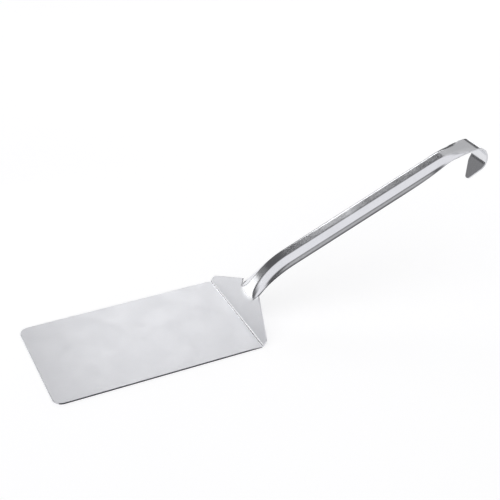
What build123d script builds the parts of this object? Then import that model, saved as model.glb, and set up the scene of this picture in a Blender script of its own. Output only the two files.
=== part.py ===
"""Grill spatula in stainless steel sheet.

A flat blade with an upturned shoulder carries a pressed channel handle that ends in a
hanging hook.  The handle is welded into a notch at the top of the shoulder.

Frame: millimetres, +Z up.  The origin is the middle of the blade's flat underside, +X runs
from the blade towards the hook, and the spatula is symmetric about the XZ plane.
"""

from build123d import *
import os
from math import atan2, cos, hypot, radians, sin, tan

# ---- sheet ---------------------------------------------------------------------------------
SHEET = 1.5                     # gauge of the blade and of the handle strip
HEEL_INSIDE_RADIUS = 1.0        # inside of the bend between blade and shoulder

# ---- blade ---------------------------------------------------------------------------------
BLADE_LENGTH = 165.0            # front edge to the crease of the heel bend
BLADE_WIDTH = 100.0
FRONT_CORNER_RADIUS = 7.5

# ---- shoulder, measured up its front face from the crease ------------------------------------
SHOULDER_ANGLE = 58.0           # rise above the blade, degrees
SHOULDER_SIDE = 5.4             # height at which the sides start to taper
SHOULDER_SIDE_RADIUS = 4.0      # rounding where the taper starts
NOTCH_BOTTOM = 17.0             # straight seat of the weld across the notch
NOTCH_HALF_WIDTH = 10.5         # half of that seat
EAR_HEIGHT = 7.5                # the ears beside the notch rise this far above its seat
EAR_OUT = 3.7                   # and lean out by this much

# ---- weld between shoulder and handle --------------------------------------------------------
WELD_GAP = 1.6                  # root gap that the bead fills
WELD_ROOT_HEIGHT = 0.35         # how far the bead stands out at the back; the front is flush

# ---- handle line: the middle of the strip's upper face ---------------------------------------
HANDLE_ANGLE = 22.4             # slope of the straight grip, degrees
NECK_RUN = 20.2                 # straight up the shoulder to where the handle bends back
NECK_BEND_RADIUS = 71.0
GRIP_LENGTH = 101.7             # straight grip with the full channel
FLATTEN_LENGTH = 45.0           # straight run on which the channel starts to flatten
END_BEND_RADIUS = 50.0
END_ANGLE = 6.0                 # slope of the strip as it reaches the hook, degrees
END_RUN = 20.2                  # straight run between the end bend and the hook

# ---- handle section: upper face of one half of a symmetric channel ---------------------------
CROWN_HALF_WIDTH = 4.75         # flat top facet
FLANK_RUN = 4.0                 # sloping side facet, outwards
FLANK_DROP = 3.4                # and downwards
SKIRT_RUN = 1.5                 # steep lower wall, outwards
SKIRT_DROP = 4.0                # and downwards
FOLD_SETBACK = 1.3              # length that each soft fold takes from the facets beside it
FOLD_LIMIT = 0.45               # most of a narrow facet that a fold may take

# ---- neck: how soon each part of the section takes its full shape, 1 being evenly --------------
CROWN_HASTE = 16
KNEE_HASTE = 14
FLANK_HASTE = 2.6
SKIRT_HASTE = 2.4
RIM_HASTE = 2
FLARE_HASTE = 7                 # how soon the rim's flare behind the ears is over
NECK_FLARE = 24.0               # rate at which that flare starts
FLAT_FOLD_SPACING = 1.4         # width outside the crown where the section is flat
FLAT_FLANK_SHARE = 0.5          # the flank's share of that width
NECK_CROWDING = 1.5             # how closely the sections crowd at the notch, 1 being evenly

# ---- far end of the channel ------------------------------------------------------------------
FLATTEN_DELAY = 1.8             # how late the channel flattens, 1 being evenly
FLAT_KNEE_SHARE = 0.6           # place of the fold that fades out between crown and rim

# ---- hook --------------------------------------------------------------------------------------
STRIP_HALF_WIDTH = 10.0         # flattened strip from the end of the channel to the tail
HOOK_RADIUS = 12.0              # outside of the bend
HOOK_TAIL_ANGLE = 122.0         # direction of the tail, turned down from straight ahead
HOOK_TAIL_LENGTH = 17.0
TAIL_SHOULDER = 2.5             # the tail narrows from about this far down
TAIL_SHOULDER_RADIUS = 9.0      # rounding where it starts to narrow
TAIL_TIP_RADIUS = 3.2

# ---- worked out from the above -----------------------------------------------------------------
CREASE_X = BLADE_LENGTH / 2
HANDLE_START = NOTCH_BOTTOM + WELD_GAP
HANDLE_START_HALF_WIDTH = NOTCH_HALF_WIDTH + EAR_OUT / EAR_HEIGHT * WELD_GAP
FLAT_CROWN_HALF_WIDTH = HANDLE_START_HALF_WIDTH - FLAT_FOLD_SPACING
EAR_TIP = (NOTCH_BOTTOM + EAR_HEIGHT, NOTCH_HALF_WIDTH + EAR_OUT)
KNEE_HALF_WIDTH = CROWN_HALF_WIDTH + FLANK_RUN
RIM_HALF_WIDTH = KNEE_HALF_WIDTH + SKIRT_RUN
CHANNEL_DEPTH = FLANK_DROP + SKIRT_DROP
FULL_FLANK_SHARE = FLANK_RUN / (FLANK_RUN + SKIRT_RUN)
FLAT_KNEE_HALF_WIDTH = CROWN_HALF_WIDTH + FLAT_KNEE_SHARE * (STRIP_HALF_WIDTH - CROWN_HALF_WIDTH)


class HandleLine:
    """Chain of straight runs and bends in the XZ plane, starting at the crease."""

    def __init__(self):
        self.pieces = []
        self.length = 0.0
        self.here = (CREASE_X, SHEET, radians(SHOULDER_ANGLE))

    def run(self, length):
        """Add a straight run and return the distance at which it ends."""
        return self.bend(length, 0.0)

    def bend(self, length, turn):
        """Add a bend that turns down by an angle and return the distance at which it ends."""
        self.pieces.append((self.length, length, turn, self.here))
        self.length += length
        self.here = self.at(self.length)
        return self.length

    def at(self, distance):
        """Return x, z and slope at a distance from the crease."""
        reached = [piece for piece in self.pieces if piece[0] <= distance]
        start, length, turn, (x, z, slope) = reached[-1]
        run = distance - start
        if turn == 0.0:
            return x + run * cos(slope), z + run * sin(slope), slope
        radius = length / turn
        turned = slope - run / radius
        along = radius * (sin(slope) - sin(turned))
        return x + along, z + radius * (cos(turned) - cos(slope)), turned


line = HandleLine()
line.run(NECK_RUN)
neck_turn = radians(SHOULDER_ANGLE - HANDLE_ANGLE)
GRIP_START = line.bend(NECK_BEND_RADIUS * neck_turn, neck_turn)
FLATTEN_START = line.run(GRIP_LENGTH)
line.run(FLATTEN_LENGTH)
end_turn = radians(HANDLE_ANGLE - END_ANGLE)
line.bend(END_BEND_RADIUS * end_turn, end_turn)
HOOK_START = line.run(END_RUN)


def plane_across(distance):
    """Plane square to the handle line: local x along +Y, local y up from the strip."""
    x, z, slope = line.at(distance)
    return Plane(origin=(x, 0, z), x_dir=(0, 1, 0), z_dir=(cos(slope), 0, sin(slope)))


def plane_along(distance):
    """Plane of symmetry at the handle line: local x along the strip, local y up from it."""
    x, z, slope = line.at(distance)
    return Plane(origin=(x, 0, z), x_dir=(cos(slope), 0, sin(slope)), z_dir=(0, -1, 0))


def plane_on(distance):
    """Plane on the strip's upper face: local x along the strip, local y along +Y."""
    x, z, slope = line.at(distance)
    along, up = (cos(slope), 0, sin(slope)), (-sin(slope), 0, cos(slope))
    return Plane(origin=(x, 0, z), x_dir=along, z_dir=up)


def mixed(a, b, share):
    """Value that lies this share of the way from a to b."""
    return a + (b - a) * share


def underside(points):
    """Outline of the sheet's lower face: the upper one moved down square to itself."""
    angles = [atan2(b[1] - a[1], b[0] - a[0]) for a, b in zip(points, points[1:])]
    angles = [angles[0]] + angles + [angles[-1]]
    moved = []
    for (x, y), before, after in zip(points, angles, angles[1:]):
        middle = (before + after) / 2
        reach = SHEET / cos((after - before) / 2)
        moved.append((x + reach * sin(middle), y - reach * cos(middle)))
    return moved


def facet_lengths(points):
    """Length of each straight facet between the corners."""
    return [hypot(b[0] - a[0], b[1] - a[1]) for a, b in zip(points, points[1:])]


def folded(points, setbacks):
    """Straight facets joined by soft folds, as edges."""
    edges = []
    last = points[0]
    for before, corner, after, setback in zip(points, points[1:], points[2:], setbacks):
        fold = []
        for end in (before, after):
            share = setback / hypot(end[0] - corner[0], end[1] - corner[1])
            fold.append((mixed(corner[0], end[0], share), mixed(corner[1], end[1], share)))
        edges.append(Edge.make_line(last, fold[0]))
        edges.append(Edge.make_bezier(fold[0], corner, fold[1]))
        last = fold[1]
    edges.append(Edge.make_line(last, points[-1]))
    return edges


def section(distance, crown, knee, rim):
    """Cross section of the strip; knee and rim are each (half width, drop below the crown)."""
    right = [(crown, 0.0), (knee[0], -knee[1]), (rim[0], -rim[1])]
    upper = [(-x, y) for x, y in reversed(right)] + right
    lower = underside(upper)
    above, below = facet_lengths(upper), facet_lengths(lower)
    longest = [FOLD_LIMIT * min(a, b) for a, b in zip(above, below)]
    setbacks = [min(FOLD_SETBACK, a, b) for a, b in zip(longest, longest[1:])]
    ends = [Edge.make_line(upper[i], lower[i]) for i in (0, -1)]
    outline = Wire(folded(upper, setbacks) + folded(lower, setbacks) + ends)
    return plane_across(distance) * Face(outline)


def full_channel(distance):
    """Section of the straight grip."""
    knee = (KNEE_HALF_WIDTH, FLANK_DROP)
    return section(distance, CROWN_HALF_WIDTH, knee, (RIM_HALF_WIDTH, CHANNEL_DEPTH))


def arrived(place, haste):
    """Share of a change that is made by this place; a higher haste makes it sooner."""
    return 1 - (1 - place) ** haste


def neck_sections(stations=26):
    """Sections from the flat end in the notch to the full channel, closest at the notch.

    The crown narrows at once, the flanks drop next and the skirts deepen along the whole bend.
    The rim first flares out behind the ears.
    """
    sections = []
    for station in range(stations + 1):
        place = (station / stations) ** NECK_CROWDING
        distance = mixed(HANDLE_START, GRIP_START, place)
        flare = NECK_FLARE * place * (1 - place) ** FLARE_HASTE
        rim_half = mixed(HANDLE_START_HALF_WIDTH, RIM_HALF_WIDTH, arrived(place, RIM_HASTE)) + flare
        crown = mixed(FLAT_CROWN_HALF_WIDTH, CROWN_HALF_WIDTH, arrived(place, CROWN_HASTE))
        flank_share = mixed(FLAT_FLANK_SHARE, FULL_FLANK_SHARE, arrived(place, KNEE_HASTE))
        knee = (mixed(crown, rim_half, flank_share), FLANK_DROP * arrived(place, FLANK_HASTE))
        rim = (rim_half, CHANNEL_DEPTH * arrived(place, SKIRT_HASTE))
        sections.append(section(distance, crown, knee, rim))
    return sections


def end_sections(stations=12):
    """Sections over which the channel flattens out, slowly at first, ahead of the hook."""
    sections = []
    for station in range(stations + 1):
        place = station / stations
        late = place ** FLATTEN_DELAY
        flat = late * late * (3 - 2 * late)
        knee = (mixed(KNEE_HALF_WIDTH, FLAT_KNEE_HALF_WIDTH, flat), FLANK_DROP * (1 - flat))
        rim = (mixed(RIM_HALF_WIDTH, STRIP_HALF_WIDTH, flat), CHANNEL_DEPTH * (1 - flat))
        distance = mixed(FLATTEN_START, HOOK_START, place)
        sections.append(section(distance, CROWN_HALF_WIDTH, knee, rim))
    return sections


def make_hook():
    """Bend and tapered tail at the end of the handle strip."""
    turn = HOOK_TAIL_ANGLE + END_ANGLE
    centre = (0, -HOOK_RADIUS)
    outer = CenterArc(centre, HOOK_RADIUS, 90, -turn)
    inner = CenterArc(centre, HOOK_RADIUS - SHEET, 90, -turn)
    rim = [outer, Line(outer @ 1, inner @ 1), inner, Line(inner @ 0, outer @ 0)]
    bend = plane_along(HOOK_START) * extrude(make_face(rim), STRIP_HALF_WIDTH, both=True)

    tail_start = plane_along(HOOK_START) * Location(outer @ 1, (0, 0, -turn))
    root = Rectangle(TAIL_SHOULDER, 2 * STRIP_HALF_WIDTH, align=(Align.MIN, Align.CENTER))
    tip = Pos(HOOK_TAIL_LENGTH - TAIL_TIP_RADIUS, 0) * Circle(TAIL_TIP_RADIUS)
    outline = make_hull(root.edges() + tip.edges())
    shoulders = outline.vertices().filter_by(lambda v: abs(v.X - TAIL_SHOULDER) < SHEET / 100)
    outline = fillet(shoulders, TAIL_SHOULDER_RADIUS)
    # The outline lies on the outer face, and the sheet grows towards the inside of the hook.
    tail = tail_start * Rot(90, 0, 0) * extrude(outline, SHEET)
    return bend + tail


def make_handle():
    """Neck, straight grip, flattened end and hook, pressed from one strip."""
    neck = loft(neck_sections(), ruled=True)
    grip = loft([full_channel(GRIP_START), full_channel(FLATTEN_START)], ruled=True)
    end = loft(end_sections())
    return neck + grip + end + make_hook()


def make_blade():
    """Flat blade, heel bend and shoulder, cut and bent from one sheet."""
    turn = radians(SHOULDER_ANGLE)
    setback = HEEL_INSIDE_RADIUS * tan(turn / 2)

    flat_length = BLADE_LENGTH - setback
    corner = Pos(-CREASE_X, 0) * Rectangle(flat_length, BLADE_WIDTH, align=(Align.MIN, Align.CENTER))
    front = corner.vertices().group_by(Axis.X)[0]
    flat = extrude(fillet(front, FRONT_CORNER_RADIUS), SHEET)

    centre = (CREASE_X - setback, SHEET + HEEL_INSIDE_RADIUS)
    inner = CenterArc(centre, HEEL_INSIDE_RADIUS, -90, SHOULDER_ANGLE)
    outer = CenterArc(centre, HEEL_INSIDE_RADIUS + SHEET, -90, SHOULDER_ANGLE)
    rim = [inner, Line(inner @ 1, outer @ 1), outer, Line(outer @ 0, inner @ 0)]
    heel = Plane.XZ * extrude(make_face(rim), BLADE_WIDTH / 2, both=True)

    half = [
        (setback, BLADE_WIDTH / 2),
        (SHOULDER_SIDE, BLADE_WIDTH / 2),
        EAR_TIP,
        (NOTCH_BOTTOM, NOTCH_HALF_WIDTH),
    ]
    outline = make_face(Polyline(*half, *[(x, -y) for x, y in reversed(half)], close=True))
    sides = [v for v in outline.vertices() if abs(v.X - SHOULDER_SIDE) < SHEET / 100]
    shoulder = plane_on(0) * extrude(fillet(sides, SHOULDER_SIDE_RADIUS), -SHEET)
    return flat + heel + shoulder


def make_neck_weld():
    """Butt weld across the notch, ground flush in front and slightly proud at the back."""
    half = [(NOTCH_BOTTOM, NOTCH_HALF_WIDTH), (HANDLE_START, HANDLE_START_HALF_WIDTH)]
    outline = make_face(Polyline(*half, *[(x, -y) for x, y in reversed(half)], close=True))
    bead = plane_on(0) * extrude(outline, -SHEET)
    near, far = (NOTCH_BOTTOM, -SHEET), (HANDLE_START, -SHEET)
    crest = ((NOTCH_BOTTOM + HANDLE_START) / 2, -SHEET - WELD_ROOT_HEIGHT)
    root = make_face([ThreePointArc(near, crest, far), Line(far, near)])
    return bead + plane_along(0) * extrude(root, NOTCH_HALF_WIDTH, both=True)


if __name__ == "__main__":
    os.makedirs("parts", exist_ok=True)
    makers = {"blade": make_blade, "handle": make_handle, "neck_weld": make_neck_weld}
    for name, make in makers.items():
        solid = make()
        solid.label = name
        export_step(solid, f"parts/{name}.step")
        print(name, len(solid.solids()), "solid", round(solid.volume), "mm3", "valid", solid.is_valid)
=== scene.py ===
"""Looks of the grill spatula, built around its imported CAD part."""

from math import asin, atan2, cos, hypot, pi, radians, sin, tan

import bmesh
import bpy
from mathutils import Matrix, Vector


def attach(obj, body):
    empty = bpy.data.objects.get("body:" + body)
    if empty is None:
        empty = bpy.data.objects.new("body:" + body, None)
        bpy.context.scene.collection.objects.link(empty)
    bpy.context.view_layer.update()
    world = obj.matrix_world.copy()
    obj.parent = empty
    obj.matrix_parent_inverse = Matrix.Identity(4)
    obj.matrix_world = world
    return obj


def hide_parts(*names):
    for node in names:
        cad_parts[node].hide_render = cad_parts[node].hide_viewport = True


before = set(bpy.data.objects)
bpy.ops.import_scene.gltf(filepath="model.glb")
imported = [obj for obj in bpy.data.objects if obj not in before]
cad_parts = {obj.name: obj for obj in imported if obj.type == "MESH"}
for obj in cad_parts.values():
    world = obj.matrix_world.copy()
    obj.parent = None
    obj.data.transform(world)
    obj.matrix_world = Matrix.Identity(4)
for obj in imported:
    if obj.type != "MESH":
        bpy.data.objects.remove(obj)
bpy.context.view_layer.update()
MM = 0.001

# ---- sizes of the CAD part, in millimetres -----------------------------------------------------
SHEET = 1.5
HEEL_INSIDE_RADIUS = 1.0
BLADE_LENGTH = 165.0
BLADE_WIDTH = 100.0
FRONT_CORNER_RADIUS = 7.5
SHOULDER_ANGLE = 58.0
SHOULDER_SIDE = 5.4
SHOULDER_SIDE_RADIUS = 4.0
NOTCH_BOTTOM = 17.0
NOTCH_HALF_WIDTH = 10.5
EAR_HEIGHT = 7.5
EAR_OUT = 3.7
WELD_GAP = 1.6
WELD_ROOT_HEIGHT = 0.35
HANDLE_ANGLE = 22.4
NECK_RUN = 20.2
NECK_BEND_RADIUS = 71.0
GRIP_LENGTH = 101.7
FLATTEN_LENGTH = 45.0
END_BEND_RADIUS = 50.0
END_ANGLE = 6.0
END_RUN = 20.2
CROWN_HALF_WIDTH = 4.75
FLANK_RUN = 4.0
FLANK_DROP = 3.4
SKIRT_RUN = 1.5
SKIRT_DROP = 4.0
FOLD_SETBACK = 1.3
FOLD_LIMIT = 0.45               # largest share of a facet that one fold may take
CROWN_HASTE = 16
KNEE_HASTE = 14
FLANK_HASTE = 2.6
SKIRT_HASTE = 2.4
RIM_HASTE = 2
FLARE_HASTE = 7
NECK_FLARE = 24.0
FLAT_FLANK_SHARE = 0.5
FLAT_FOLD_SPACING = 1.4
STRIP_HALF_WIDTH = 10.0
FLATTEN_DELAY = 1.8             # how late the channel flattens, 1 being evenly
FLAT_KNEE_SHARE = 0.6           # place of the fold that fades out between crown and rim
HOOK_RADIUS = 12.0
HOOK_TAIL_ANGLE = 122.0
HOOK_TAIL_LENGTH = 17.0
TAIL_SHOULDER = 2.5
TAIL_SHOULDER_RADIUS = 9.0
TAIL_TIP_RADIUS = 3.2

CREASE_X = BLADE_LENGTH / 2
HANDLE_START = NOTCH_BOTTOM + WELD_GAP
HANDLE_START_HALF_WIDTH = NOTCH_HALF_WIDTH + EAR_OUT / EAR_HEIGHT * WELD_GAP
FLAT_CROWN_HALF_WIDTH = HANDLE_START_HALF_WIDTH - FLAT_FOLD_SPACING
EAR_TIP = (NOTCH_BOTTOM + EAR_HEIGHT, NOTCH_HALF_WIDTH + EAR_OUT)
KNEE_HALF_WIDTH = CROWN_HALF_WIDTH + FLANK_RUN
RIM_HALF_WIDTH = KNEE_HALF_WIDTH + SKIRT_RUN
CHANNEL_DEPTH = FLANK_DROP + SKIRT_DROP
FULL_FLANK_SHARE = FLANK_RUN / (FLANK_RUN + SKIRT_RUN)
FLAT_KNEE_HALF_WIDTH = CROWN_HALF_WIDTH + FLAT_KNEE_SHARE * (STRIP_HALF_WIDTH - CROWN_HALF_WIDTH)
SETBACK = HEEL_INSIDE_RADIUS * tan(radians(SHOULDER_ANGLE) / 2)
FLAT_END = CREASE_X - SETBACK

# ---- sizes of the look, in millimetres ---------------------------------------------------------
EDGE_ROUND = 0.3                # tumbled cut edges
EDGE_MARGIN = 0.05              # slack when telling a cut edge from a face by its height
FRONT_EDGE_DEPTH = 3.0          # how far back the front edge's lighter share of painted shade reaches
BEAD_RIPPLE = 0.18              # share of the bead's height that rises and falls
BEAD_RIPPLE_RATE = 2.2          # radians of ripple per millimetre across
BEAD_END_RATE = 6               # how steeply the bead rises from its ends
BEAD_END_HEIGHT = 0.15          # share of its height that the bead keeps at its ends

# ---- how fine the meshes are -------------------------------------------------------------------
FOLD_STEPS = 8
ARC_STEPS = 4
FACET_SHARES = (0.12, 0.5, 0.88)    # where a facet's inner points lie between its folds
NECK_STATIONS = 60
NECK_CROWDING = 1.5             # how much closer the neck's stations stand at its start
GRIP_STATIONS = 24
END_STATIONS = 60
HOOK_STATIONS = 39
TAIL_SHOULDER_STEPS = 8
TAIL_RUN_STEPS = 6
TAIL_TIP_STEPS = 16
BLADE_CORNER_STEPS = 12
BLADE_LENGTH_STEPS = 12
HEEL_STEPS = 12
SHOULDER_SIDE_STEPS = 8
BEVEL_STEPS = 3
BEAD_COLUMNS = 96
BEAD_STEPS = 8
BEAD_SHARP_ANGLE = 50.0         # degrees

# ---- how dull a cut edge is, and how dark its painted shade is, from 0 to 1 --------------------
# The dark is painted shade for the dark reflection and contact shadow along the long edges and the
# channel's rim; the front edge and the hook catch light and get less.
BLADE_EDGE_SHADE = 1.0
FRONT_EDGE_SHADE = 0.2
CHANNEL_EDGE_SHADE = 0.9
HOOK_EDGE_SHADE = 0.15


# ---- the handle: a strip swept along its line --------------------------------------------------
class HandleLine:
    """Chain of straight runs and bends in the XZ plane, starting at the crease."""

    def __init__(self):
        self.pieces = []
        self.length = 0.0
        self.here = (CREASE_X, SHEET, radians(SHOULDER_ANGLE))

    def run(self, length):
        return self.bend(length, 0.0)

    def bend(self, length, turn):
        self.pieces.append((self.length, length, turn, self.here))
        self.length += length
        self.here = self.at(self.length)
        return self.length

    def at(self, distance):
        """x, z and slope at a distance from the crease."""
        reached = [piece for piece in self.pieces if piece[0] <= distance]
        start, length, turn, (x, z, slope) = reached[-1]
        run = distance - start
        if turn == 0.0:
            return x + run * cos(slope), z + run * sin(slope), slope
        radius = length / turn
        turned = slope - run / radius
        along = radius * (sin(slope) - sin(turned))
        return x + along, z + radius * (cos(turned) - cos(slope)), turned


line = HandleLine()
line.run(NECK_RUN)
neck_turn = radians(SHOULDER_ANGLE - HANDLE_ANGLE)
GRIP_START = line.bend(NECK_BEND_RADIUS * neck_turn, neck_turn)
FLATTEN_START = line.run(GRIP_LENGTH)
line.run(FLATTEN_LENGTH)
end_turn = radians(HANDLE_ANGLE - END_ANGLE)
line.bend(END_BEND_RADIUS * end_turn, end_turn)
HOOK_START = line.run(END_RUN)
hook_turn = radians(HOOK_TAIL_ANGLE + END_ANGLE)
HOOK_END = line.bend(HOOK_RADIUS * hook_turn, hook_turn)
line.run(HOOK_TAIL_LENGTH)


def mixed(a, b, share):
    return a + (b - a) * share


def between(p, q, share):
    return mixed(p[0], q[0], share), mixed(p[1], q[1], share)


def arrived(place, haste):
    """Share of a change that is made by this place; a higher haste makes it sooner."""
    return 1 - (1 - place) ** haste


def smooth(share):
    return share * share * (3 - 2 * share)


def underside(points):
    """The lower face's corners: the upper ones moved down square to the sheet."""
    angles = [atan2(b[1] - a[1], b[0] - a[0]) for a, b in zip(points, points[1:])]
    angles = [angles[0]] + angles + [angles[-1]]
    moved = []
    for (x, y), before, after in zip(points, angles, angles[1:]):
        middle = (before + after) / 2
        reach = SHEET / cos((after - before) / 2)
        moved.append((x + reach * sin(middle), y - reach * cos(middle)))
    return moved


def soft_line(points, setbacks):
    """Points along straight facets joined by soft folds."""
    out = [points[0]]
    last = points[0]
    for before, corner, after, setback in zip(points, points[1:], points[2:], setbacks):
        start, end = [
            between(corner, p, setback / hypot(p[0] - corner[0], p[1] - corner[1]))
            for p in (before, after)
        ]
        out += [between(last, start, share) for share in FACET_SHARES]
        for i in range(FOLD_STEPS + 1):
            t = i / FOLD_STEPS
            out.append(between(between(start, corner, t), between(corner, end, t), t))
        last = end
    out += [between(last, points[-1], share) for share in FACET_SHARES]
    return out + [points[-1]]


def edge_arcs(rim, inner):
    """Points round a cut edge, from the upper face to the lower one. rim is the upper edge."""
    length = hypot(rim[0] - inner[0], rim[1] - inner[1])
    out = ((rim[0] - inner[0]) / length, (rim[1] - inner[1]) / length)
    up = (-out[1], out[0])
    down = (-up[0], -up[1])
    points = []
    for depth, first, second in ((EDGE_ROUND, up, out), (SHEET - EDGE_ROUND, out, down)):
        centre = [rim[k] - EDGE_ROUND * out[k] - depth * up[k] for k in (0, 1)]
        for i in range(ARC_STEPS + 1):
            a = i / ARC_STEPS * pi / 2
            reach = [cos(a) * first[k] + sin(a) * second[k] for k in (0, 1)]
            points.append(tuple(centre[k] + EDGE_ROUND * reach[k] for k in (0, 1)))
    return points[1:-1]


def facet_lengths(points):
    return [hypot(b[0] - a[0], b[1] - a[1]) for a, b in zip(points, points[1:])]


def ring(crown, knee, rim):
    """Outline of the strip's section, round from the left rim; each point is (across, up).
    With it come the numbers of points on one face and on one edge."""
    right = [(crown, 0.0), (knee[0], -knee[1]), (rim[0], -rim[1])]
    upper = [(-x, y) for x, y in reversed(right)] + right
    lower = underside(upper)
    facets = [min(pair) for pair in zip(facet_lengths(upper), facet_lengths(lower))]
    shorter = [min(pair) for pair in zip(facets, facets[1:])]
    setbacks = [min(FOLD_SETBACK, FOLD_LIMIT * length) for length in shorter]
    arc = edge_arcs(upper[-1], upper[-2])
    faces = []
    for face in (upper, lower):
        ends = [
            between(p, q, EDGE_ROUND / hypot(p[0] - q[0], p[1] - q[1]))
            for p, q in ((face[0], face[1]), (face[-1], face[-2]))
        ]
        faces.append(soft_line([ends[0]] + face[1:-1] + [ends[1]], setbacks))
    mirrored = [(-x, y) for x, y in reversed(arc)]
    return faces[0] + arc + faces[1][::-1] + mirrored, len(faces[0]), len(arc)


def on_face(j, face_count, arc_count):
    """Whether the ring's point j lies on the upper or the lower face, not on an edge."""
    return j < face_count or face_count + arc_count <= j < 2 * face_count + arc_count


def placed(distance, points):
    """Section points at a distance along the handle, with their place on the unbent strip."""
    x, z, slope = line.at(distance)
    along = Vector((cos(slope), 0, sin(slope)))
    up = Vector((-sin(slope), 0, cos(slope)))
    here = Vector((x, 0, z))
    out = []
    for point in points:
        ahead = point[2] if len(point) > 2 else 0.0
        at = here + along * ahead + Vector((0, point[0], 0)) + up * point[1]
        out.append((at * MM, (distance + ahead, point[0], point[1])))
    return out


def neck_ring(place):
    """Section of the neck, from the flat strip at place 0 to the full channel at 1."""
    flare = NECK_FLARE * place * (1 - place) ** FLARE_HASTE
    rim_half = mixed(HANDLE_START_HALF_WIDTH, RIM_HALF_WIDTH, arrived(place, RIM_HASTE)) + flare
    crown = mixed(FLAT_CROWN_HALF_WIDTH, CROWN_HALF_WIDTH, arrived(place, CROWN_HASTE))
    flank_share = mixed(FLAT_FLANK_SHARE, FULL_FLANK_SHARE, arrived(place, KNEE_HASTE))
    knee = (mixed(crown, rim_half, flank_share), FLANK_DROP * arrived(place, FLANK_HASTE))
    return ring(crown, knee, (rim_half, CHANNEL_DEPTH * arrived(place, SKIRT_HASTE)))


def end_ring(place):
    """Section of the grip's end, from the full channel at place 0 to the flat strip at 1."""
    flat = smooth(place ** FLATTEN_DELAY)
    knee = (mixed(KNEE_HALF_WIDTH, FLAT_KNEE_HALF_WIDTH, flat), FLANK_DROP * (1 - flat))
    rim = (mixed(RIM_HALF_WIDTH, STRIP_HALF_WIDTH, flat), CHANNEL_DEPTH * (1 - flat))
    return ring(CROWN_HALF_WIDTH, knee, rim)


def tail_outline():
    """One side of the tail's outline: distance past the bend, half width, and its normal's angle
    away from straight across."""
    centre = HOOK_TAIL_LENGTH - TAIL_TIP_RADIUS
    reach = hypot(centre - TAIL_SHOULDER, STRIP_HALF_WIDTH)
    taper = atan2(STRIP_HALF_WIDTH, centre - TAIL_SHOULDER) - asin(TAIL_TIP_RADIUS / reach)
    start = TAIL_SHOULDER - TAIL_SHOULDER_RADIUS * tan(taper / 2)
    points = []
    for i in range(TAIL_SHOULDER_STEPS + 1):
        a = taper * i / TAIL_SHOULDER_STEPS
        points.append((
            start + TAIL_SHOULDER_RADIUS * sin(a),
            STRIP_HALF_WIDTH - TAIL_SHOULDER_RADIUS * (1 - cos(a)),
            a,
        ))
    tip = []
    for i in range(TAIL_TIP_STEPS + 1):
        a = mixed(taper, pi / 2, i / TAIL_TIP_STEPS)
        tip.append((centre + TAIL_TIP_RADIUS * sin(a), TAIL_TIP_RADIUS * cos(a), a))
    shares = [i / TAIL_RUN_STEPS for i in range(1, TAIL_RUN_STEPS)]
    run = [(*between(points[-1], tip[0], share), taper) for share in shares]
    return points + run + tip


def handle_rings():
    """Every placed ring of the handle, from the notch to the tail's tip, and the counts that
    ring gives."""
    rings = []
    for i in range(NECK_STATIONS + 1):
        place = (i / NECK_STATIONS) ** NECK_CROWDING
        rings.append(placed(mixed(HANDLE_START, GRIP_START, place), neck_ring(place)[0]))
    for i in range(1, GRIP_STATIONS):
        distance = mixed(GRIP_START, FLATTEN_START, i / GRIP_STATIONS)
        rings.append(placed(distance, end_ring(0.0)[0]))
    for i in range(END_STATIONS + 1):
        place = i / END_STATIONS
        rings.append(placed(mixed(FLATTEN_START, HOOK_START, place), end_ring(place)[0]))
    flat, face_count, arc_count = end_ring(1.0)
    for i in range(1, HOOK_STATIONS + 1):
        rings.append(placed(mixed(HOOK_START, HOOK_END, i / HOOK_STATIONS), flat))
    widest = flat[face_count - 1][0]
    for ahead, half, a in tail_outline():
        inset = half - EDGE_ROUND * cos(a)
        behind = EDGE_ROUND * sin(a)
        row = []
        for j, (x, y) in enumerate(flat):
            if on_face(j, face_count, arc_count):
                row.append((x / widest * inset, y, -behind))
            else:
                over = abs(x) - widest
                side = 1 if x > 0 else -1
                row.append((side * (inset + over * cos(a)), y, -behind + over * sin(a)))
        rings.append(placed(HOOK_END + ahead, row))
    return rings, face_count, arc_count


def finish_mesh(name, bm):
    mesh = bpy.data.meshes.new(name)
    bm.to_mesh(mesh)
    bm.free()
    mesh.shade_smooth()
    piece = bpy.data.objects.new(name, mesh)
    bpy.context.scene.collection.objects.link(piece)
    return piece


def close_tube(bm, rows):
    """Faces between closed rows of vertices."""
    for a, b in zip(rows, rows[1:]):
        for j in range(len(a)):
            k = (j + 1) % len(a)
            bm.faces.new((a[j], a[k], b[k], b[j]))


def painted_edge_shade(distance):
    """How dull the handle's cut edge is and how dark its painted shade is: less and less as the
    channel flattens and the edge catches more light.
    """
    flattened = (distance - FLATTEN_START) / FLATTEN_LENGTH
    return mixed(CHANNEL_EDGE_SHADE, HOOK_EDGE_SHADE, min(1.0, max(0.0, flattened)))


def make_handle():
    rings, face_count, arc_count = handle_rings()
    rim_points = (0, 1, face_count - 2, face_count - 1)
    bm = bmesh.new()
    unbent = bm.verts.layers.float_vector.new("unbent")
    edge = bm.verts.layers.float.new("edge_dullness_and_shade")
    rows = []
    for points in rings:
        row = []
        for j, (at, flat) in enumerate(points):
            v = bm.verts.new(at)
            v[unbent] = Vector(flat)
            # The cut edges and the two upper-face points beside each rim get painted shade,
            # standing in for the dark that the rounded rim reflects.
            on_rim = j in rim_points or not on_face(j, face_count, arc_count)
            v[edge] = painted_edge_shade(flat[0]) if on_rim else 0.0
            row.append(v)
        rows.append(row)
    close_tube(bm, rows)
    start = bm.faces.new(rows[0])
    for e in start.edges:
        e.smooth = False
    bmesh.ops.remove_doubles(bm, verts=bm.verts[:], dist=1e-6)
    bmesh.ops.recalc_face_normals(bm, faces=bm.faces[:])
    return finish_mesh("handle_strip", bm)


# ---- the blade: one outline, bent at the heel --------------------------------------------------
# Each of these three gives a point's place and its place on the unbent sheet; h is its height
# above the upper face.
def on_flat(x, y, h):
    return Vector((x, y, SHEET + h)), (x - CREASE_X, y, h)


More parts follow.
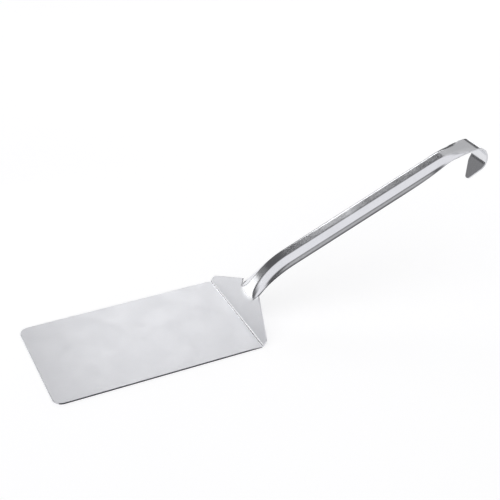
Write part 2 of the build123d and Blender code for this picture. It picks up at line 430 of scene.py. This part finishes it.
def on_bend(angle, y, h):
    reach = HEEL_INSIDE_RADIUS - h
    at = Vector((FLAT_END + reach * sin(angle), y, SHEET + HEEL_INSIDE_RADIUS - reach * cos(angle)))
    return at, (SETBACK * (2 * angle / radians(SHOULDER_ANGLE) - 1), y, h)


def on_shoulder(q, y, h):
    a = radians(SHOULDER_ANGLE)
    at = Vector((CREASE_X + q * cos(a) - h * sin(a), y, SHEET + q * sin(a) + h * cos(a)))
    return at, (q, y, h)


def blade_rows():
    """Rows across the blade from its front edge to the shoulder's slanted sides: the part they
    lie on, how far along it, and half their width."""
    half = BLADE_WIDTH / 2
    rows = []
    for i in range(BLADE_CORNER_STEPS + 1):
        a = pi / 2 * i / BLADE_CORNER_STEPS
        x = -CREASE_X + FRONT_CORNER_RADIUS * (1 - cos(a))
        rows.append((on_flat, x, half - FRONT_CORNER_RADIUS * (1 - sin(a))))
    first = -CREASE_X + FRONT_CORNER_RADIUS
    shares = [i / BLADE_LENGTH_STEPS for i in range(1, BLADE_LENGTH_STEPS)]
    rows += [(on_flat, mixed(first, FLAT_END, share), half) for share in shares]
    shares = [i / HEEL_STEPS for i in range(HEEL_STEPS + 1)]
    rows += [(on_bend, radians(SHOULDER_ANGLE) * share, half) for share in shares]
    taper = atan2(half - EAR_TIP[1], EAR_TIP[0] - SHOULDER_SIDE)
    start = SHOULDER_SIDE - SHOULDER_SIDE_RADIUS * tan(taper / 2)
    for i in range(SHOULDER_SIDE_STEPS + 1):
        a = taper * i / SHOULDER_SIDE_STEPS
        q = start + SHOULDER_SIDE_RADIUS * sin(a)
        rows.append((on_shoulder, q, half - SHOULDER_SIDE_RADIUS * (1 - cos(a))))
    return rows


def make_blade():
    half = BLADE_WIDTH / 2
    lean = (half - EAR_TIP[1]) / (EAR_TIP[0] - SHOULDER_SIDE)
    outer = half - (NOTCH_BOTTOM - SHOULDER_SIDE) * lean
    corners = [(NOTCH_BOTTOM, outer), EAR_TIP, (NOTCH_BOTTOM, NOTCH_HALF_WIDTH)]
    bm = bmesh.new()
    unbent = bm.verts.layers.float_vector.new("unbent")
    edge = bm.verts.layers.float.new("edge_dullness_and_shade")
    skins = []
    for h in (0.0, -SHEET):
        sides = []
        for side in (-1, 1):
            verts = []
            for place, value, width in blade_rows() + [(on_shoulder, q, y) for q, y in corners]:
                at, flat = place(value, side * width, h)
                v = bm.verts.new(at * MM)
                v[unbent] = Vector(flat)
                verts.append(v)
            sides.append(verts)
        left, right = sides
        last = len(left) - 4
        faces = [(left[i], right[i], right[i + 1], left[i + 1]) for i in range(last)]
        faces.append((left[last], right[last], right[-3], right[-1], left[-1], left[-3]))
        faces += [tuple(side[-3:]) for side in sides]
        for face in faces:
            bm.faces.new(face)
        skins.append(left + right[::-1])
    top, bottom = skins
    rims = []
    seat = len(top) // 2
    for i in range(len(top)):
        k = (i + 1) % len(top)
        bm.faces.new((top[i], top[k], bottom[k], bottom[i]))
        if k != seat:
            rims += [bm.edges.get((skin[i], skin[k])) for skin in skins]
    bmesh.ops.recalc_face_normals(bm, faces=bm.faces[:])
    bmesh.ops.bevel(
        bm, geom=rims, offset=EDGE_ROUND * MM, offset_type="OFFSET", segments=BEVEL_STEPS,
        profile=0.5, affect="EDGES", clamp_overlap=False,
    )
    # Painted shade on the blade's cut edges: dark along the sides, standing in for the reflected
    # contact shadow, lighter at the front edge.
    for v in bm.verts:
        x, height = v.co.x / MM, v.co.z / MM
        if x < FLAT_END and EDGE_MARGIN < height < SHEET - EDGE_MARGIN:
            v[edge] = BLADE_EDGE_SHADE if x > -CREASE_X + FRONT_EDGE_DEPTH else FRONT_EDGE_SHADE
    piece = finish_mesh("blade_sheet", bm)
    weighted = piece.modifiers.new("normals", "WEIGHTED_NORMAL")
    weighted.keep_sharp = True
    return piece


def make_weld():
    """The bead across the notch: flush in front, rippled where it stands out at the back."""
    bm = bmesh.new()
    unbent = bm.verts.layers.float_vector.new("unbent")
    rows = []
    for i in range(BEAD_COLUMNS + 1):
        across = 2 * i / BEAD_COLUMNS - 1
        wave = abs(sin(across * NOTCH_HALF_WIDTH * BEAD_RIPPLE_RATE))
        ripple = 1 - BEAD_RIPPLE + BEAD_RIPPLE * wave
        ripple *= min(1.0, BEAD_END_RATE * (1 - abs(across)) + BEAD_END_HEIGHT)
        section = [(0.0, 0.0), (0.5, 0.0), (1.0, 0.0)]
        for j in range(BEAD_STEPS + 1):
            share = 1 - j / BEAD_STEPS
            section.append((share, -SHEET - WELD_ROOT_HEIGHT * ripple * sin(pi * share)))
        row = []
        for share, h in section:
            half = mixed(NOTCH_HALF_WIDTH, HANDLE_START_HALF_WIDTH, share)
            at, flat = on_shoulder(NOTCH_BOTTOM + WELD_GAP * share, across * half, h)
            v = bm.verts.new(at * MM)
            v[unbent] = Vector(flat)
            row.append(v)
        rows.append(row)
    close_tube(bm, rows)
    for end in (rows[0], rows[-1]):
        bm.faces.new(end)
    bmesh.ops.recalc_face_normals(bm, faces=bm.faces[:])
    for e in bm.edges:
        if e.calc_face_angle(0) > radians(BEAD_SHARP_ANGLE):
            e.smooth = False
    return finish_mesh("weld_bead", bm)


# ---- materials ---------------------------------------------------------------------------------
# Lengths are in millimetres on the unbent sheet, measured from the crease.
GRAIN_STRETCH = 0.035           # the grain's rate along the sheet, 1 being its rate across
CLOUD_SCALE = 0.045
SPECK_SCALE = 1.9
TONGUE_REACH = (13.0, 19.0)     # where the neck's polish begins and is full, along the middle
TONGUE_CURVE = 0.035            # how far it draws back: this times the square of the place across
HEEL_MIDDLE = 0.35
HEEL_REACH = (0.75, 1.1)        # half widths of the heel's polished line, full and faded out
HEEL_POLISH = 0.9
SATIN = 0.42                    # roughness where the steel isn't polished
NOISE_RANGE = (0.3, 0.7)        # the part of a noise's output that is used
GRAIN_ROUGHNESS, CLOUD_ROUGHNESS = 0.05, 0.03
GRAIN_SHADE, CLOUD_SHADE, SPECK_SHADE = 0.2, 0.25, 0.25
GRAIN_RELIEF, SPECK_RELIEF = 0.6, 0.25
RELIEF_DEPTH = 0.00004          # metres
DULLING = 0.15                  # roughness that a cut edge adds
# Painted shade: the dark colour given to cut edges and rims, standing in for the dark they reflect
# and their contact shadow.
PAINTED_EDGE_SHADE = (0.07, 0.07, 0.08, 1.0)
DARKEN, LIGHTEN = 0.94, 1.05
WHITE = (1, 1, 1, 1)


class Nodes:
    """Short hand for building a node tree."""

    def __init__(self, tree):
        self.tree = tree
        tree.nodes.clear()

    def add(self, kind, inputs=(), **settings):
        node = self.tree.nodes.new(kind)
        for name, value in settings.items():
            setattr(node, name, value)
        for socket, value in dict(inputs).items():
            self.set(node.inputs[socket], value)
        return node

    def set(self, socket, value):
        if isinstance(value, bpy.types.NodeSocket):
            self.tree.links.new(value, socket)
        else:
            socket.default_value = value

    def math(self, operation, a, b=0.0, clamp=False):
        node = self.add("ShaderNodeMath", {0: a, 1: b}, operation=operation, use_clamp=clamp)
        return node.outputs[0]

    def total(self, *values, clamp=False):
        out = values[0]
        for value in values[1:-1]:
            out = self.math("ADD", out, value)
        return self.math("ADD", out, values[-1], clamp)

    def ranged(self, value, start, end, to_start, to_end, smooth_step=False):
        node = self.add(
            "ShaderNodeMapRange", {0: value, 1: start, 2: end, 3: to_start, 4: to_end},
            interpolation_type="SMOOTHSTEP" if smooth_step else "LINEAR",
        )
        return node.outputs[0]

    def swing(self, noise, size):
        """A noise turned into a change of up to size either way."""
        return self.ranged(noise, *NOISE_RANGE, -size, size)

    def noise(self, vector, scale, detail=2.0, roughness=0.5):
        node = self.add("ShaderNodeTexNoise", {
            "Vector": vector, "Scale": scale, "Detail": detail, "Roughness": roughness,
        })
        return node.outputs[0]

    def mix(self, factor, a, b):
        node = self.add("ShaderNodeMix", data_type="RGBA")
        for socket, value in ((0, factor), (6, a), (7, b)):
            self.set(node.inputs[socket], value)
        return node.outputs[2]


def polish_mask(n, along, across):
    """How polished the steel is: a tongue that reaches down from the handle, and the heel."""
    drawn_back = n.math("MULTIPLY", n.math("POWER", n.math("ABSOLUTE", across), 2.0), TONGUE_CURVE)
    tongue = n.ranged(n.math("SUBTRACT", along, drawn_back), *TONGUE_REACH, 0.0, 1.0, True)
    off_heel = n.math("ABSOLUTE", n.math("SUBTRACT", along, HEEL_MIDDLE))
    heel = n.ranged(off_heel, *HEEL_REACH, HEEL_POLISH, 0.0, True)
    return n.math("MAXIMUM", tongue, heel)


def steel(name, colour, polish, grain_scale, bump):
    """Stainless steel with lengthwise grain, faint clouds, polished parts, and cut edges that are
    duller and painted dark as shade.
    polish is the roughness of its polished parts."""
    material = bpy.data.materials.new(name)
    material.use_nodes = True
    n = Nodes(material.node_tree)
    place = n.add("ShaderNodeAttribute", attribute_name="unbent").outputs["Vector"]
    cut = n.add("ShaderNodeAttribute", attribute_name="edge_dullness_and_shade").outputs["Fac"]
    stretch = (GRAIN_STRETCH, 1.0, 1.0)
    stretched = n.add("ShaderNodeMapping", {"Vector": place, "Scale": stretch}).outputs[0]
    grain = n.noise(stretched, grain_scale, detail=3.0, roughness=0.65)
    clouds = n.noise(place, CLOUD_SCALE, detail=4.0, roughness=0.55)
    specks = n.noise(place, SPECK_SCALE)
    parts = n.add("ShaderNodeSeparateXYZ", {0: place}).outputs
    buffed = polish_mask(n, parts[0], parts[1])
    rough = n.total(
        n.swing(grain, GRAIN_ROUGHNESS), n.swing(clouds, CLOUD_ROUGHNESS),
        n.ranged(buffed, 0.0, 1.0, SATIN, polish), n.math("MULTIPLY", cut, DULLING), clamp=True,
    )
    shade = n.total(
        n.swing(clouds, CLOUD_SHADE), n.swing(specks, SPECK_SHADE), n.swing(grain, GRAIN_SHADE),
        0.5, clamp=True,
    )
    dark = tuple(c * DARKEN for c in colour) + (1.0,)
    light = tuple(min(1.0, c * LIGHTEN) for c in colour) + (1.0,)
    # The cut edges' dark colour is painted shade; the roughness they add above is their real
    # dullness.
    tint = n.mix(cut, n.mix(shade, dark, light), PAINTED_EDGE_SHADE)
    raised = n.total(
        n.math("MULTIPLY", grain, GRAIN_RELIEF), n.math("MULTIPLY", specks, SPECK_RELIEF),
    )
    relief = n.add("ShaderNodeBump", {"Strength": bump, "Distance": RELIEF_DEPTH, "Height": raised})
    shader = n.add("ShaderNodeBsdfPrincipled", {
        "Base Color": tint, "Metallic": 1.0, "Roughness": rough, "Normal": relief.outputs[0],
    })
    n.add("ShaderNodeOutputMaterial", {"Surface": shader.outputs[0]})
    return material


satin = steel("satin_steel", (0.78, 0.785, 0.81), polish=0.18, grain_scale=3.2, bump=0.5)
polished = steel("polished_steel", (0.76, 0.765, 0.79), polish=0.15, grain_scale=4.0, bump=0.12)
ground = steel("weld_steel", (0.77, 0.775, 0.79), polish=0.20, grain_scale=2.4, bump=0.6)

PIECES = (
    (make_blade, "blade", "satin_steel", satin),
    (make_handle, "handle", "polished_steel", polished),
    (make_weld, "neck_weld", "weld_steel", ground),
)
for make, node, slot, material in PIECES:
    piece = make()
    piece.data.materials.append(material)
    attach(piece, "root")
    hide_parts(node)
    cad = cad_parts[node]
    cad.data.materials.clear()
    cad.data.materials.append(material)


# ---- floor, light and camera -------------------------------------------------------------------
FLOOR_REACH = 1.3
FLOOR_DROP = 0.0002
FLOOR_GLOW = 0.62               # lifts the grey paper to white for the camera and in the steel
PAPER_SCALE = 3.0
PAPER_TONES = (0.49, 0.51)
STUDIO_COLOUR = (0.98, 0.978, 1.0, 1)
STUDIO_LEVELS = (0.12, 0.98)    # the dim room and the bright canopy above its front
CANOPY_WAY = (-0.25, -0.60, 0.76)
CANOPY_EDGE = (0.12, 0.62)      # how squarely a direction must face the canopy, none and full
CANOPY_RISE = (0.30, 0.62)      # how steeply it must point up, none and full
CAMERA_PLACE = (-0.20804, -0.62564, 0.49100)
CAMERA_RIGHT = (0.9021, -0.4315, 0.0085)
CAMERA_UP = (0.2221, 0.4811, 0.8481)
CAMERA_LENS, CAMERA_SENSOR = 75.33, 36.0
CAMERA_SHIFT = (-0.001, 0.001)

NEAR, FAR, LEFT, RIGHT = (0, -1, 0), (0, 1, 0), (-1, 0, 0), (1, 0, 0)
# Area lights: name, place, way it faces, width and height in metres, radiance. The cards named
# after a part are what that part mirrors to the camera; the others light the rest.
SOFTBOXES = (
    ("heel_card", (-0.235, 0.30, 0.083), NEAR, (0.09, 0.165), 1.35),
    ("tongue_card", (-0.1425, 0.30, 0.0925), NEAR, (0.095, 0.145), 1.3),
    ("left_fill", (-0.70, 1.05, 0.62), NEAR, (0.40, 0.30), 0.15),
    ("shoulder_card", (-1.42, 1.05, 0.25), NEAR, (0.70, 0.50), 0.3),
    ("ear_card", (-0.24, 1.05, 0.13), NEAR, (0.48, 0.26), 1.0),
    ("right_card", (1.45, 1.05, 0.19), NEAR, (0.70, 0.38), 1.4),
    ("back", (0.36, 1.05, 0.79), NEAR, (0.52, 0.34), 3.05),
    ("back_side", (0.70, 1.05, 0.76), NEAR, (0.16, 0.20), 1.8),
    ("back_fill", (0.92, 1.05, 0.755), NEAR, (0.28, 0.41), 0.44),
    ("top_fill", (0.97, 1.05, 1.68), NEAR, (0.66, 1.44), 0.50),
    ("front", (0.44, -1.05, 0.20), FAR, (0.50, 0.30), 0.38),
    ("left", (-1.30, -0.55, 0.55), RIGHT, (1.2, 0.9), 1.05),
    ("right", (1.60, 0.20, 0.45), LEFT, (1.2, 0.7), 1.3),
)


def make_floor():
    r = FLOOR_REACH
    mesh = bpy.data.meshes.new("floor")
    mesh.from_pydata([(-r, -r, 0), (r, -r, 0), (r, r, 0), (-r, r, 0)], [], [(0, 1, 2, 3)])
    floor = bpy.data.objects.new("floor", mesh)
    bpy.context.scene.collection.objects.link(floor)
    material = bpy.data.materials.new("floor")
    material.use_nodes = True
    n = Nodes(material.node_tree)
    place = n.add("ShaderNodeTexCoord").outputs["Object"]
    paper = n.mix(n.noise(place, PAPER_SCALE), *[(tone, tone, tone, 1) for tone in PAPER_TONES])
    diffuse = n.add("ShaderNodeBsdfDiffuse", {"Color": paper})
    path = n.add("ShaderNodeLightPath").outputs
    mirrored = n.math("MAXIMUM", path["Is Glossy Ray"], path["Is Transmission Ray"])
    seen = n.math("MAXIMUM", path["Is Camera Ray"], mirrored)
    strength = n.math("MULTIPLY", seen, FLOOR_GLOW)
    glow = n.add("ShaderNodeEmission", {"Color": WHITE, "Strength": strength})
    lift = n.add("ShaderNodeAddShader", {0: diffuse.outputs[0], 1: glow.outputs[0]})
    n.add("ShaderNodeOutputMaterial", {"Surface": lift.outputs[0]})
    mesh.materials.append(material)
    floor.location.z = -FLOOR_DROP


def make_world():
    """A dim studio with a bright canopy above its front, and plain white behind the scene."""
    world = bpy.data.worlds.new("studio")
    bpy.context.scene.world = world
    world.use_nodes = True
    n = Nodes(world.node_tree)
    way = n.add("ShaderNodeTexCoord").outputs["Generated"]
    facing = n.add("ShaderNodeVectorMath", {0: way, 1: CANOPY_WAY}, operation="DOT_PRODUCT")
    height = n.add("ShaderNodeSeparateXYZ", {0: way}).outputs[2]
    canopy = n.math(
        "MULTIPLY", n.ranged(facing.outputs["Value"], *CANOPY_EDGE, 0.0, 1.0, True),
        n.ranged(height, *CANOPY_RISE, 0.0, 1.0, True),
    )
    level = n.ranged(canopy, 0.0, 1.0, *STUDIO_LEVELS)
    studio = n.add("ShaderNodeBackground", {"Color": STUDIO_COLOUR, "Strength": level})
    white = n.add("ShaderNodeBackground", {"Color": WHITE, "Strength": 1.0})
    path = n.add("ShaderNodeLightPath").outputs
    both = n.add("ShaderNodeMixShader", {
        0: path["Is Camera Ray"], 1: studio.outputs[0], 2: white.outputs[0],
    })
    n.add("ShaderNodeOutputWorld", {"Surface": both.outputs[0]})


def make_softbox(name, place, facing, size, radiance):
    data = bpy.data.lights.new(name, "AREA")
    data.shape = "RECTANGLE"
    data.size, data.size_y = size
    data.energy = radiance * size[0] * size[1] * pi
    lamp = bpy.data.objects.new(name, data)
    lamp.location = place
    lamp.visible_camera = False
    lamp.rotation_mode = "QUATERNION"
    lamp.rotation_quaternion = Vector(facing).to_track_quat("-Z", "Y")
    bpy.context.scene.collection.objects.link(lamp)


def make_camera():
    data = bpy.data.cameras.new("camera")
    data.lens, data.sensor_width = CAMERA_LENS, CAMERA_SENSOR
    data.shift_x, data.shift_y = CAMERA_SHIFT
    camera = bpy.data.objects.new("camera", data)
    back = Vector(CAMERA_RIGHT).cross(Vector(CAMERA_UP)).normalized()
    right = Vector(CAMERA_UP).cross(back).normalized()
    turn = Matrix((right, back.cross(right), back)).transposed().to_4x4()
    camera.matrix_world = Matrix.Translation(CAMERA_PLACE) @ turn
    bpy.context.scene.collection.objects.link(camera)
    bpy.context.scene.camera = camera


make_floor()
make_world()
for softbox in SOFTBOXES:
    make_softbox(*softbox)
make_camera()
bpy.context.scene.view_settings.view_transform = "Standard"
